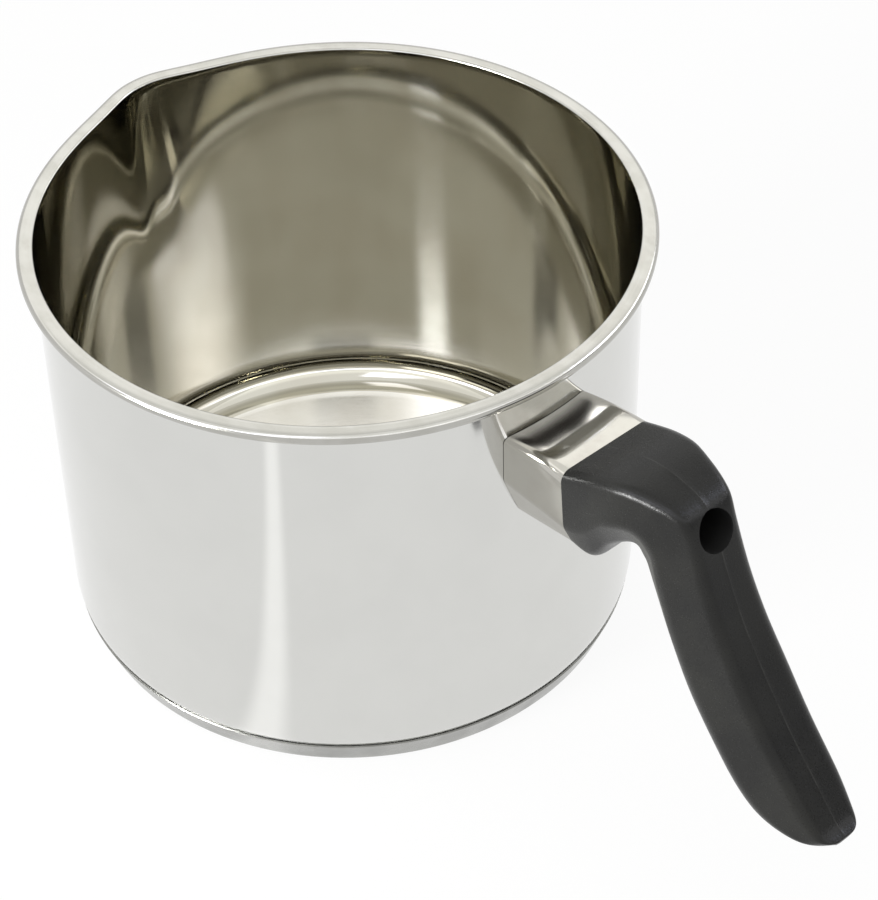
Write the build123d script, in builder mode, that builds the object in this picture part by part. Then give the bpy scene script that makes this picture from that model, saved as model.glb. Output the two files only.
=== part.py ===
from build123d import *
import math
import os

os.makedirs("parts", exist_ok=True)

# Milk pan: a drawn steel vessel with a pouring spout, a capsule base and a screwed-on handle.
# Origin: centre of the underside of the base. +Z up, handle towards +X, spout towards -X.
# Lengths are in millimetres and angles in degrees.

# Vessel
bore_radius = 70.0  # inside of the straight wall, a 14 cm pan
wall_sheet = 0.6
pan_height = 110.0  # table to the top of the lip
floor_corner = 8.0  # outside bend between wall and floor

# Rolled lip
lip_reach = 3.4  # how far the lip stands out from the wall
lip_thickness = 2.6
lip_outer_round = 1.15
lip_inner_round = 0.35

# Pouring spout
spout_proud = 4.4  # how far the lip bulges at the nose
spout_depth = 56.0  # from the lip's top down to where the pouch dies out
spout_spread_angle = 9.3  # half of the nose, at the lip
spout_power = 2.4  # how quickly the bulge dies out sideways
spout_fade_power = 1.7  # how quickly it dies out downwards
spout_foot_spread_share = 0.55  # spread at the foot of the pouch over the spread at the lip
spout_level_shares = (0, 0.2, 0.4, 0.6, 0.8, 1)
outline_steps = 48
outline_crowding_share = 0.75  # crowds the outline's points towards the spout

# Capsule base
core_thickness = 3.0
cap_sheet = 0.5
cap_height = 7.4
cap_draw_in = 2.8  # how much narrower the capsule is at the bottom than at its edge
cap_bend = 2.2
cap_joint_gap = 0.15  # the dark line between the capsule's edge and the wall
core_recess = 0.7  # how far the aluminium ends below the capsule's edge
bond_gap = 0.05

# Flame guard, a bent sheet between the wall and the handle
guard_reach = 17.8  # from the wall to the handle, along X
guard_below_lip = 10.4  # lip's top to the guard's top at the handle
guard_top_slope_angle = 11.8
guard_end_depth = 23.0
guard_wall_depth = 25.2
guard_end_width = 26.6
guard_wall_width = 24.9
guard_sheet = 0.8
guard_lean_angle = 4.2  # the handle's shoulder leans out at its foot
guard_wall_gap = 0.1
guard_run_in = 5.0  # length of the blank inside the wall, trimmed to the wall
guard_crown_round = 2.6  # bend between the guard's top and sides, at the handle
guard_wall_crown_round = 1.6
guard_widest_share = 0.65  # height where the sides start to draw in, at the handle
guard_wall_widest_share = 0.5
guard_belly_share = 0.75  # width of the belly over the width of the sides, at the handle
guard_wall_belly_share = 0.62

# Handle
handle_reach = 76.5  # from the flame guard to the furthest point, along X
handle_drop = 67.0  # from the guard's top down to the grip's lowest point
handle_width = 21.6
spigot_length = 7.0
spigot_clearance = 0.2

# Rounding of the sides and the belly, as shares of a section's widest width
side_round_share = 0.24
belly_round_share = 0.2

# Handle sections, from the head to the tip. Each row is: top point's x and z, bottom point's x and z,
# crown width, widest width, height of the widest line, belly width over the widest, crown rounding.
# x is a share of handle_reach, z a share of handle_drop below the guard's top, the first two widths
# are shares of handle_width and the rounding is a share of the crown's width.
handle_section_shares = (
    (0.095, -0.045, 0.085, 0.355, 1.18, 1.22, 0.58, 0.7, 0.09),
    (0.195, -0.08, 0.135, 0.27, 1.08, 1.21, 0.5, 0.66, 0.08),
    (0.295, -0.08, 0.215, 0.2, 0.89, 1.08, 0.52, 0.62, 0.1),
    (0.385, -0.05, 0.24, 0.225, 0.71, 0.99, 0.56, 0.62, 0.14),
    (0.435, 0.03, 0.255, 0.26, 0.63, 0.93, 0.6, 0.62, 0.2),
    (0.49, 0.18, 0.295, 0.345, 0.65, 0.94, 0.66, 0.62, 0.23),
    (0.57, 0.355, 0.365, 0.495, 0.68, 0.98, 0.68, 0.62, 0.23),
    (0.665, 0.515, 0.465, 0.675, 0.71, 1.02, 0.68, 0.62, 0.23),
    (0.765, 0.665, 0.585, 0.845, 0.69, 1.01, 0.68, 0.62, 0.23),
    (0.87, 0.8, 0.705, 0.98, 0.67, 0.94, 0.66, 0.62, 0.22),
    (0.96, 0.915, 0.825, 1.0, 0.54, 0.79, 0.62, 0.62, 0.2),
    (0.995, 0.94, 0.905, 1.0, 0.32, 0.52, 0.58, 0.62, 0.2),
    (0.99, 0.965, 0.975, 0.99, 0.11, 0.15, 0.55, 0.62, 0.2),
)

# Handle screw, an M4 pan head, and what it clamps
screw_tilt_angle = 12.0
screw_height = 13.8  # guard's foot to the screw's axis, at the handle's shoulder
screw_radius = 2.0
screw_head_radius = 4.0
screw_head_height = 3.1
screw_head_round = 1.2
screw_length = 25.0
recess_slot = 0.9
recess_span = 4.6
recess_depth = 1.9
access_radius = 4.8
seat_depth = 11.0  # handle's shoulder to the washers' seat, along the screw
screw_hole_clearance = 0.3
thread_clearance = 0.05
washer_radius = 4.5
washer_bore_clearance = 0.15
washer_thickness = 0.8
spring_radius = 3.8
spring_thickness = 0.9
spring_gap = 0.7

# Bracket, welded to the wall inside the flame guard
bracket_sheet = 1.5
bracket_width = 14.0
bracket_height = 12.0
bracket_foot = 2.8  # how far each welded foot stands out sideways
weld_gap = 0.1
nut_flats = 7.0
nut_height = 3.2
nut_collar_radius = 3.0
nut_fit_gap = 0.03

# A cutter runs this far past what it cuts
overrun = 5.0

# Worked out from the sizes above
wall_radius = bore_radius + wall_sheet
floor_under = cap_sheet + core_thickness
corner_centre_z = floor_under + floor_corner
spout_foot_z = pan_height - spout_depth
guard_end_x = wall_radius + guard_reach
guard_end_top = pan_height - guard_below_lip
guard_top_slope = math.tan(math.radians(guard_top_slope_angle))
guard_lean = math.radians(guard_lean_angle)
guard_foot_z = guard_end_top - guard_end_depth * math.cos(guard_lean)
screw_tilt = math.radians(screw_tilt_angle)
screw_direction = Vector(math.cos(screw_tilt), 0, math.sin(screw_tilt))
screw_start = Vector(guard_end_x, 0, guard_foot_z + screw_height)
head_seat = seat_depth + washer_thickness + spring_thickness


# Plane across the screw at a distance out from the handle's shoulder.
def screw_plane(distance):
    return Plane(origin=screw_start + screw_direction * distance, x_dir=(0, 1, 0), z_dir=screw_direction)


# Closed outline around the vessel, with the spout's bulge on the -X side.
def vessel_outline(radius, proud, spread_angle):
    points = []
    for step in range(outline_steps):
        turn = 2 * math.pi * step / outline_steps
        offset = turn - outline_crowding_share * math.sin(turn)
        aside = min(offset, 2 * math.pi - offset)
        reach = radius + proud / (1 + (aside / math.radians(spread_angle)) ** spout_power)
        points.append((-reach * math.cos(offset), -reach * math.sin(offset)))
    return points


# Bulge and spread of the spout's pouch at a share of its depth, from 0 at the foot to 1 at the lip.
def pouch_outline(radius, level_share):
    fade = max(level_share, 0) ** spout_fade_power
    spread_share = spout_foot_spread_share + (1 - spout_foot_spread_share) * level_share
    return vessel_outline(radius, spout_proud * fade, spout_spread_angle * spread_share)


# Section of the guard and the handle, hung below y = 0: six corners, rounded at crown, sides and belly.
def moulded_outline(crown_width, widest_width, belly_width, depth, widest_share, crown_round):
    crown, widest, belly = crown_width / 2, widest_width / 2, belly_width / 2
    widest_y = -depth * widest_share
    corners = ((crown, 0), (widest, widest_y), (belly, -depth), (-belly, -depth), (-widest, widest_y), (-crown, 0))
    side_round, belly_round = side_round_share * widest_width, belly_round_share * widest_width
    rounds = (crown_round, side_round, belly_round, belly_round, side_round, crown_round)
    FilletPolyline(*corners, radius=rounds, close=True)


# Plane of the flame guard's section at a place along X, lowered by an inset.
def guard_plane(x, inset):
    top = guard_end_top - (guard_end_x - x) * guard_top_slope
    down = Vector(math.sin(guard_lean), 0, -math.cos(guard_lean))
    return Plane(origin=Vector(x, 0, top) + down * inset, x_dir=(0, 1, 0), z_dir=Vector(0, 1, 0).cross(-down))


# Flame guard's section at a place along X, drawn in from the outside by a sheet or a clearance.
def guard_outline(x, inset):
    share = (x - wall_radius) / guard_reach
    depth = guard_wall_depth + (guard_end_depth - guard_wall_depth) * share - 2 * inset
    width = guard_wall_width + (guard_end_width - guard_wall_width) * share - 2 * inset
    widest_share = guard_wall_widest_share + (guard_widest_share - guard_wall_widest_share) * share
    belly_share = guard_wall_belly_share + (guard_belly_share - guard_wall_belly_share) * share
    crown_round = guard_wall_crown_round + (guard_crown_round - guard_wall_crown_round) * share - inset
    moulded_outline(width, width, width * belly_share, depth, widest_share, crown_round)


# Ends of a handle section, from one row of shares: its top point and its bottom point.
def handle_ends(row):
    top_x, top_z, foot_x, foot_z = row[:4]
    top = Vector(guard_end_x + handle_reach * top_x, 0, guard_end_top - handle_drop * top_z)
    foot = Vector(guard_end_x + handle_reach * foot_x, 0, guard_end_top - handle_drop * foot_z)
    return top, foot


# Plane of a handle section, hung from its top point.
def handle_plane(row):
    top, foot = handle_ends(row)
    return Plane(origin=top, x_dir=(0, 1, 0), z_dir=Vector(0, 1, 0).cross((top - foot).normalized()))


# Outline of a handle section.
def handle_outline(row):
    top, foot = handle_ends(row)
    crown_share, widest_width_share, widest_share, belly_share, round_share = row[4:]
    crown, widest = handle_width * crown_share, handle_width * widest_width_share
    moulded_outline(crown, widest, widest * belly_share, (top - foot).length, widest_share, crown * round_share)


# Everything inside the vessel as one solid: a straight foot, the spout's pouch above it, a rounded floor
inside_foot_z = floor_under + wall_sheet
with BuildPart() as inside_form:
    with BuildSketch(Plane.XY.offset(inside_foot_z)) as inside_foot:
        with BuildLine():
            Spline(*pouch_outline(bore_radius, 0), periodic=True)
        make_face()
    extrude(amount=spout_foot_z - inside_foot_z)
    for level_share in spout_level_shares:
        level_z = spout_foot_z + (spout_depth + lip_thickness / 2) * level_share
        with BuildSketch(Plane.XY.offset(level_z)) as inside_level:
            with BuildLine():
                Spline(*pouch_outline(bore_radius, level_share), periodic=True)
            make_face()
    loft()
    fillet(inside_form.edges().group_by(Axis.Z)[0], radius=floor_corner - wall_sheet)

# Lip as a rounded slab, hollowed together with the vessel
with BuildPart() as lip_form:
    with BuildSketch(Plane.XY.offset(pan_height - lip_thickness)) as lip_outside:
        with BuildLine():
            Spline(*pouch_outline(wall_radius + lip_reach, 1), periodic=True)
        make_face()
    extrude(amount=lip_thickness)
    rim_edges = lip_form.edges().group_by(Axis.Z)
    fillet(rim_edges[0] + rim_edges[-1], radius=lip_outer_round)

# Vessel: the outside in one sheet with the lip, less everything inside
with BuildPart() as pan_body:
    with BuildSketch(Plane.XY.offset(floor_under)) as outside_foot:
        with BuildLine():
            Spline(*pouch_outline(wall_radius, 0), periodic=True)
        make_face()
    extrude(amount=spout_foot_z - floor_under)
    for level_share in spout_level_shares:
        level_z = spout_foot_z + (spout_depth - lip_thickness / 2) * level_share
        with BuildSketch(Plane.XY.offset(level_z)) as outside_level:
            with BuildLine():
                Spline(*pouch_outline(wall_radius, level_share), periodic=True)
            make_face()
    loft()
    fillet(pan_body.edges().group_by(Axis.Z)[0], radius=floor_corner)
    add(lip_form.part)
    add(inside_form.part, mode=Mode.SUBTRACT)
    fillet(pan_body.edges().group_by(Axis.Z)[-1].sort_by(SortBy.LENGTH)[0], radius=lip_inner_round)
pan_body.part.label = "pan_body"
export_step(pan_body.part, "parts/pan_body.step")

# Capsule: a shallow steel cup whose edge meets the vessel's corner
corner_rise = corner_centre_z - cap_height
joint_radius = wall_radius - floor_corner + math.sqrt(floor_corner**2 - corner_rise**2)
cap_top_radius = joint_radius + cap_joint_gap + cap_sheet
cap_bottom_radius = cap_top_radius - cap_draw_in
cap_flare = cap_draw_in / cap_height


# Half outline of the capsule's cup at a depth of sheet in from its outside.
def cap_profile(inset, top_z):
    low = cap_bottom_radius + cap_flare * inset - inset
    high = cap_bottom_radius + cap_flare * top_z - inset
    Polyline((0, inset), (low, inset), (high, top_z), (0, top_z), close=True)


with BuildPart() as base_cap:
    with BuildSketch(Plane.XZ) as cup_outside:
        with BuildLine():
            cap_profile(0, cap_height)
        make_face()
        fillet(cup_outside.vertices().group_by(Axis.Y)[0].sort_by(Axis.X)[-1], radius=cap_bend)
    revolve(axis=Axis.Z)
    with BuildSketch(Plane.XZ) as cup_inside:
        with BuildLine():
            cap_profile(cap_sheet, cap_height)
        make_face()
        fillet(cup_inside.vertices().group_by(Axis.Y)[0].sort_by(Axis.X)[-1], radius=cap_bend - cap_sheet)
    revolve(axis=Axis.Z, mode=Mode.SUBTRACT)
base_cap.part.label = "base_cap"
export_step(base_cap.part, "parts/base_cap.step")

# Aluminium disc: fills the capsule up to just below its edge
with BuildPart() as base_core:
    with BuildSketch(Plane.XZ) as core_outside:
        with BuildLine():
            cap_profile(cap_sheet, cap_height - core_recess)
        make_face()
        fillet(core_outside.vertices().group_by(Axis.Y)[0].sort_by(Axis.X)[-1], radius=cap_bend - cap_sheet)
    revolve(axis=Axis.Z)
    with BuildSketch(Plane.XZ) as vessel_seat:
        with BuildLine():
            seat_corner = floor_corner + bond_gap
            seat_radius = wall_radius + bond_gap
            seat_top = corner_centre_z + overrun
            Polyline(
                (seat_radius, corner_centre_z), (seat_radius, seat_top), (0, seat_top),
                (0, corner_centre_z - seat_corner), (seat_radius - seat_corner, corner_centre_z - seat_corner),
            )
            TangentArc(
                (seat_radius - seat_corner, corner_centre_z - seat_corner),
                (seat_radius, corner_centre_z), tangent=(1, 0),
            )
        make_face()
    revolve(axis=Axis.Z, mode=Mode.SUBTRACT)
base_core.part.label = "base_core"
export_step(base_core.part, "parts/base_core.step")

# Flame guard: outside and inside lofts, trimmed to the wall
with BuildPart() as flame_guard:
    for x in (wall_radius - guard_run_in, guard_end_x):
        with BuildSketch(guard_plane(x, 0)) as guard_outside:
            with BuildLine():
                guard_outline(x, 0)
            make_face()
    loft(ruled=True)
    for x in (wall_radius - guard_run_in - overrun, guard_end_x + overrun):
        with BuildSketch(guard_plane(x, guard_sheet)) as guard_inside:
            with BuildLine():
                guard_outline(x, guard_sheet)
            make_face()
    loft(ruled=True, mode=Mode.SUBTRACT)
    Cylinder(wall_radius + guard_wall_gap, 2 * pan_height, mode=Mode.SUBTRACT)
flame_guard.part.label = "flame_guard"
export_step(flame_guard.part, "parts/flame_guard.step")

# Handle: a lofted moulding with a spigot inside the guard and a stepped bore for the screw
with BuildPart() as handle:
    with BuildSketch(guard_plane(guard_end_x, 0)) as shoulder:
        with BuildLine():
            guard_outline(guard_end_x, 0)
        make_face()
    for row in handle_section_shares:
        with BuildSketch(handle_plane(row)) as handle_level:
            with BuildLine():
                handle_outline(row)
            make_face()
    loft()
    spigot_inset = guard_sheet + spigot_clearance
    for x in (guard_end_x - spigot_length - overrun, guard_end_x + spigot_inset):
        with BuildSketch(guard_plane(x, spigot_inset)) as spigot_level:
            with BuildLine():
                guard_outline(x, spigot_inset)
            make_face()
    loft(ruled=True)
    with BuildSketch(screw_plane(-spigot_length)) as spigot_trim:
        Rectangle(2 * guard_end_width, 2 * guard_end_depth)
    extrude(amount=-2 * overrun - spigot_length, mode=Mode.SUBTRACT)
    with BuildSketch(screw_plane(seat_depth)) as access_hole:
        Circle(access_radius)
    extrude(amount=handle_reach, mode=Mode.SUBTRACT)
    with BuildSketch(screw_plane(-spigot_length - overrun)) as screw_hole:
        Circle(screw_radius + screw_hole_clearance)
    extrude(amount=spigot_length + seat_depth + 2 * overrun, mode=Mode.SUBTRACT)
handle.part.label = "handle"
export_step(handle.part, "parts/handle.step")

# Space beside the bracket's arms, down to the welded feet that follow the wall
arms_length = guard_reach + overrun
with BuildPart() as beside_arms:
    with BuildSketch(screw_plane(-spigot_length + overrun)) as side_cuts:
        with Locations((bracket_width / 2 + bracket_foot, 0), (-bracket_width / 2 - bracket_foot, 0)):
            Rectangle(2 * bracket_foot, bracket_height + overrun)
    extrude(amount=-arms_length - overrun)
    Cylinder(wall_radius + weld_gap + bracket_sheet, 2 * pan_height, mode=Mode.SUBTRACT)

# Bracket: cross plate, two arms and two welded feet bent out along the wall
with BuildPart() as handle_bracket:
    with BuildSketch(screw_plane(-spigot_length)) as bracket_blank:
        Rectangle(bracket_width + 2 * bracket_foot, bracket_height)
    extrude(amount=-arms_length)
    with BuildSketch(screw_plane(-spigot_length - bracket_sheet)) as between_arms:
        Rectangle(bracket_width - 2 * bracket_sheet, bracket_height + overrun)
    extrude(amount=-arms_length, mode=Mode.SUBTRACT)
    add(beside_arms.part, mode=Mode.SUBTRACT)
    Cylinder(wall_radius + weld_gap, 2 * pan_height, mode=Mode.SUBTRACT)
    with BuildSketch(screw_plane(-spigot_length + overrun)) as collar_hole:
        Circle(nut_collar_radius + nut_fit_gap)
    extrude(amount=-2 * overrun, mode=Mode.SUBTRACT)
handle_bracket.part.label = "handle_bracket"
export_step(handle_bracket.part, "parts/handle_bracket.step")

# Weld nut: hexagon behind the cross plate, with a collar that fills the plate's hole
with BuildPart() as weld_nut:
    with BuildSketch(screw_plane(-spigot_length - bracket_sheet)) as nut_hexagon:
        RegularPolygon(nut_flats / 2, 6, major_radius=False)
    extrude(amount=-nut_height)
    with BuildSketch(screw_plane(-spigot_length - bracket_sheet)) as nut_collar:
        Circle(nut_collar_radius)
    extrude(amount=bracket_sheet)
    with BuildSketch(screw_plane(-spigot_length + overrun)) as nut_bore:
        Circle(screw_radius + thread_clearance)
    extrude(amount=-nut_height - bracket_sheet - 2 * overrun, mode=Mode.SUBTRACT)
weld_nut.part.label = "weld_nut"
export_step(weld_nut.part, "parts/weld_nut.step")

# Flat washer on the seat at the bottom of the access hole
with BuildPart() as flat_washer:
    with BuildSketch(screw_plane(seat_depth)) as washer_ring:
        Circle(washer_radius)
        Circle(screw_radius + washer_bore_clearance, mode=Mode.SUBTRACT)
    extrude(amount=washer_thickness)
flat_washer.part.label = "flat_washer"
export_step(flat_washer.part, "parts/flat_washer.step")

# Spring washer, pressed flat, with its split
with BuildPart() as spring_washer:
    with BuildSketch(screw_plane(seat_depth + washer_thickness)) as spring_ring:
        Circle(spring_radius)
        Circle(screw_radius + washer_bore_clearance, mode=Mode.SUBTRACT)
        with Locations((0, spring_radius)):
            Rectangle(spring_gap, spring_radius, mode=Mode.SUBTRACT)
    extrude(amount=spring_thickness)
spring_washer.part.label = "spring_washer"
export_step(spring_washer.part, "parts/spring_washer.step")

# Handle screw: pan head with a cross recess, its shank through the washers into the nut
with BuildPart() as handle_screw:
    with BuildSketch(screw_plane(head_seat)) as head_disc:
        Circle(screw_head_radius)
    extrude(amount=screw_head_height)
    crown_edge = handle_screw.edges().sort_by(lambda e: (e.center() - screw_start).dot(screw_direction))[-1]
    fillet(crown_edge, radius=screw_head_round)
    with BuildSketch(screw_plane(head_seat + screw_head_height)) as cross_recess:
        Rectangle(recess_span, recess_slot)
        Rectangle(recess_slot, recess_span)
    extrude(amount=-recess_depth, mode=Mode.SUBTRACT)
    with BuildSketch(screw_plane(head_seat)) as shank_disc:
        Circle(screw_radius)
    extrude(amount=-screw_length)
handle_screw.part.label = "handle_screw"
export_step(handle_screw.part, "parts/handle_screw.step")
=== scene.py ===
import bmesh
import bpy
import math
import numpy as np
from mathutils import Matrix, Vector, noise


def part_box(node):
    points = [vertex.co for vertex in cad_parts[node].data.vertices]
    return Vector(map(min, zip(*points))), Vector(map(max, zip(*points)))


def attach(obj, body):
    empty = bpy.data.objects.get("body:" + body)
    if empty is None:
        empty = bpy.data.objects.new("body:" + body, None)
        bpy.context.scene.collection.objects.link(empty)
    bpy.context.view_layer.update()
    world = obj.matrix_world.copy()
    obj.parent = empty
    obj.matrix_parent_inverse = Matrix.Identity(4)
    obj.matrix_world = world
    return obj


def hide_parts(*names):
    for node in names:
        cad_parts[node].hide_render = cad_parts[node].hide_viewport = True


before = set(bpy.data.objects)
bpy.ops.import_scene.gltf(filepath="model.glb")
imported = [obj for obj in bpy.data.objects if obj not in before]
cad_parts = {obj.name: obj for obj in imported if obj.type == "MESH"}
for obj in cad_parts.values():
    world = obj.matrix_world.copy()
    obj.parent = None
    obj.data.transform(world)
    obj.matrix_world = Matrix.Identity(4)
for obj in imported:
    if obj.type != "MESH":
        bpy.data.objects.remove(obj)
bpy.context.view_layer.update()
print("frame loaded")

mm = 0.001  # the dictionaries are in millimetres, Blender is in metres

# Camera: where the photographer stood, seen from the centre of the pan's base
cameraPlace = {
    "reach": 506.6,  # along the table
    "bearing": -38.47,  # degrees, from the handle's direction
    "height": 502.05,
    "heading": 139.02,
    "lookDown": 42.51,
    "roll": -1.24,
    "sensor": 36.0,
    "focalPixels": 2768.9,
    "photoPixels": (878, 900),
    "clip": (0.01, 100),  # metres
}


def addCamera(place):
    heading, down, roll = (math.radians(place[key]) for key in ("heading", "lookDown", "roll"))
    ahead = Vector((math.cos(heading) * math.cos(down), math.sin(heading) * math.cos(down), -math.sin(down)))
    level = Vector((math.sin(heading), -math.cos(heading), 0))
    over = level.cross(ahead)
    right = level * math.cos(roll) + over * math.sin(roll)
    up = over * math.cos(roll) - level * math.sin(roll)
    bearing = math.radians(place["bearing"])
    along, aside = math.cos(bearing) * place["reach"], math.sin(bearing) * place["reach"]
    eye = Vector((along, aside, place["height"])) * mm
    data = bpy.data.cameras.new("photoCamera")
    data.sensor_width = place["sensor"]
    data.lens = place["focalPixels"] * place["sensor"] / max(place["photoPixels"])
    data.clip_start, data.clip_end = place["clip"]
    camera = bpy.data.objects.new("photoCamera", data)
    turned = Matrix((right, up, -ahead)).transposed().to_4x4()
    camera.matrix_world = Matrix.Translation(eye) @ turned
    bpy.context.scene.collection.objects.link(camera)
    bpy.context.scene.camera = camera


addCamera(cameraPlace)
print("camera placed")


# sRGB hex colour to the linear values that the shaders take
def hexColor(code, alpha=1.0):
    channels = [int(code[i:i + 2], 16) / 255 for i in (1, 3, 5)]
    linear = [c / 12.92 if c <= 0.04045 else ((c + 0.055) / 1.055) ** 2.4 for c in channels]
    return (*linear, alpha)


# One node with its settings. Inputs go by number or name: constants, sockets, or nodes for their first output
def addNode(tree, kind, settings={}, inputs=()):
    node = tree.nodes.new("ShaderNode" + kind)
    for key, value in settings.items():
        setattr(node, key, value)
    pairs = inputs.items() if isinstance(inputs, dict) else enumerate(inputs)
    for key, value in pairs:
        if isinstance(value, bpy.types.Node):
            value = value.outputs[0]
        if isinstance(value, bpy.types.NodeSocket):
            tree.links.new(value, node.inputs[key])
        else:
            node.inputs[key].default_value = value
    return node


smooth = {"interpolation_type": "SMOOTHSTEP"}


def emptyMaterial(name):
    material = bpy.data.materials.new(name)
    material.use_nodes = True
    material.node_tree.nodes.clear()
    return material, material.node_tree


def placeInMm(tree):
    place = addNode(tree, "NewGeometry").outputs["Position"]
    return addNode(tree, "VectorMath", {"operation": "SCALE"}, {0: place, "Scale": 1 / mm})


# Place as turn round the pan in mm of wall, height and distance from the axis, all in mm
def turnedPlace(tree, wallRadius):
    place = placeInMm(tree)
    parts = addNode(tree, "SeparateXYZ", {}, [place]).outputs
    turn = addNode(tree, "Math", {"operation": "ARCTAN2"}, [parts[1], parts[0]])
    around = addNode(tree, "Math", {"operation": "MULTIPLY"}, [turn, wallRadius])
    flat = addNode(tree, "VectorMath", {"operation": "MULTIPLY"}, [place, (1, 1, 0)])
    out = addNode(tree, "VectorMath", {"operation": "LENGTH"}, [flat]).outputs["Value"]
    return addNode(tree, "CombineXYZ", {}, [around, parts[2], out])


# Detail and roughness of the noises
fineNoise = (3.0, 0.6)  # lines and grain
softNoise = (3.0, 0.55)  # smudges
cloudNoise = (3.0, 0.5)
spangleNoise = (4.0, 0.6)


# Random pattern stretched to real sizes in mm, one for each axis of the place
def stretchedPattern(tree, place, sizes, noiseKind):
    spacing = tuple(1 / size for size in sizes)
    spaced = addNode(tree, "VectorMath", {"operation": "MULTIPLY"}, [place, spacing])
    detail, roughness = noiseKind
    noiseInputs = {"Vector": spaced, "Scale": 1.0, "Detail": detail, "Roughness": roughness}
    return addNode(tree, "TexNoise", {}, noiseInputs)


# A metal's surface: a share leads from the clean colour to the dull one, a relief stands in the bump
def finishMetal(tree, look, share, roughness, relief):
    colors = {0: share, 6: hexColor(look["color"]), 7: hexColor(look["dullColor"])}
    color = addNode(tree, "Mix", {"data_type": "RGBA"}, colors).outputs[2]
    depth = look["reliefDepth"] * mm
    bump = addNode(tree, "Bump", {}, {"Height": relief, "Strength": look["bump"], "Distance": depth})
    surface = {"Base Color": color, "Metallic": 1.0, "Roughness": roughness, "Normal": bump}
    addNode(tree, "OutputMaterial", {}, [addNode(tree, "BsdfPrincipled", {}, surface)])


smudgeEdges = (0.35, 0.7)  # values of the noise between clean and smudged
patchEdges = (0.35, 0.65)  # and between the patches of duller materials
lineEdges = (0.3, 0.7)


# Stainless steel, drawn and buffed: fine polishing lines run round the pan, smudges soften the mirror
def buffedSteel(name, look):
    material, tree = emptyMaterial(name)
    lines = stretchedPattern(tree, turnedPlace(tree, look["wallRadius"]), look["lineSizes"], fineNoise)
    smudges = stretchedPattern(tree, placeInMm(tree), look["smudgeSizes"], softNoise)
    share = addNode(tree, "MapRange", smooth, [smudges, *smudgeEdges])
    spread = look["lineRoughness"]
    fine = addNode(tree, "MapRange", {}, [lines, *lineEdges, -spread, spread])
    coarse = addNode(tree, "MapRange", {}, [share, 0.0, 1.0, look["roughness"], look["dullRoughness"]])
    roughness = addNode(tree, "Math", {"operation": "ADD", "use_clamp": True}, [fine, coarse])
    finishMetal(tree, look, share, roughness, lines)
    return material


# Real polishing lines are a few hundredths of a millimetre wide. These are drawn coarser, so that they show
wallRadiusMm = 70.6  # of the outer wall, along which the lines are measured
# Outer wall: mirror-polished, it shows the table and the room with hardly any blur
mirrorWall = buffedSteel("mirrorPolishedStainless", {
    "color": "#d4d4d1", "dullColor": "#d2d2cf", "roughness": 0.08, "dullRoughness": 0.1,
    "lineRoughness": 0.01, "lineSizes": (30.0, 0.35, 4.0), "smudgeSizes": (22.0, 16.0, 22.0),
    "bump": 0.25, "reliefDepth": 0.004, "wallRadius": wallRadiusMm,
})
# Inside: painted shade, darker and warmer than the outer wall, standing in for the light that each reflection
# off the far wall takes
innerWall = buffedSteel("polishedStainlessInside", {
    "color": "#b8b6ac", "dullColor": "#b4b1a6", "roughness": 0.06, "dullRoughness": 0.08,
    "lineRoughness": 0.01, "lineSizes": (24.0, 0.3, 4.0), "smudgeSizes": (26.0, 18.0, 22.0),
    "bump": 0.1, "reliefDepth": 0.002, "wallRadius": wallRadiusMm,
})
# Floor: turned, with rings too fine to count that spread the highlights
turnedFloor = buffedSteel("turnedStainlessFloor", {
    "color": "#d3d2ce", "dullColor": "#cdccc7", "roughness": 0.08, "dullRoughness": 0.11,
    "lineRoughness": 0.02, "lineSizes": (60.0, 40.0, 0.4), "smudgeSizes": (40.0, 40.0, 14.0),
    "bump": 0.3, "reliefDepth": 0.006, "wallRadius": wallRadiusMm,
})
# Lip: buffed by wheel, a soft even sheen
buffedLip = buffedSteel("buffedStainlessLip", {
    "color": "#b6b5b0", "dullColor": "#b0afa9", "roughness": 0.14, "dullRoughness": 0.19,
    "lineRoughness": 0.03, "lineSizes": (12.0, 0.5, 0.5), "smudgeSizes": (9.0, 6.0, 6.0),
    "bump": 0.3, "reliefDepth": 0.006, "wallRadius": wallRadiusMm,
})
# Capsule: turned, greyer and duller than the wall
capsuleSteel = buffedSteel("turnedStainlessCapsule", {
    "color": "#a7a7a4", "dullColor": "#9c9c99", "roughness": 0.26, "dullRoughness": 0.34,
    "lineRoughness": 0.05, "lineSizes": (40.0, 0.5, 0.5), "smudgeSizes": (20.0, 8.0, 12.0),
    "bump": 0.5, "reliefDepth": 0.012, "wallRadius": wallRadiusMm,
})
print("steels made")


# Skin over a row of closed rings, its ends closed to their centres
def buildMesh(name, rings, materials, ringMaterial, closeStart=True, closeEnd=True):
    rings = np.asarray(rings, float)
    count, around = rings.shape[:2]
    points = rings.reshape(-1, 3).tolist()
    faces, slots = [], []
    for i in range(count - 1):
        for j in range(around):
            k = (j + 1) % around
            faces.append((i * around + j, i * around + k, (i + 1) * around + k, (i + 1) * around + j))
            slots.append(ringMaterial[i])
    for wanted, ring, reverse in ((closeStart, 0, True), (closeEnd, count - 1, False)):
        if wanted:
            centre = len(points)
            points.append(rings[ring].mean(0).tolist())
            for j in range(around):
                a, b = ring * around + j, ring * around + (j + 1) % around
                faces.append((b, a, centre) if reverse else (a, b, centre))
                slots.append(ringMaterial[0 if reverse else -1])
    mesh = bpy.data.meshes.new(name)
    mesh.from_pydata(points, [], faces)
    for material in materials:
        mesh.materials.append(material)
    mesh.polygons.foreach_set("material_index", slots)
    piece = bpy.data.objects.new(name, mesh)
    bpy.context.scene.collection.objects.link(piece)
    evenNormals(piece)
    return piece


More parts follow.
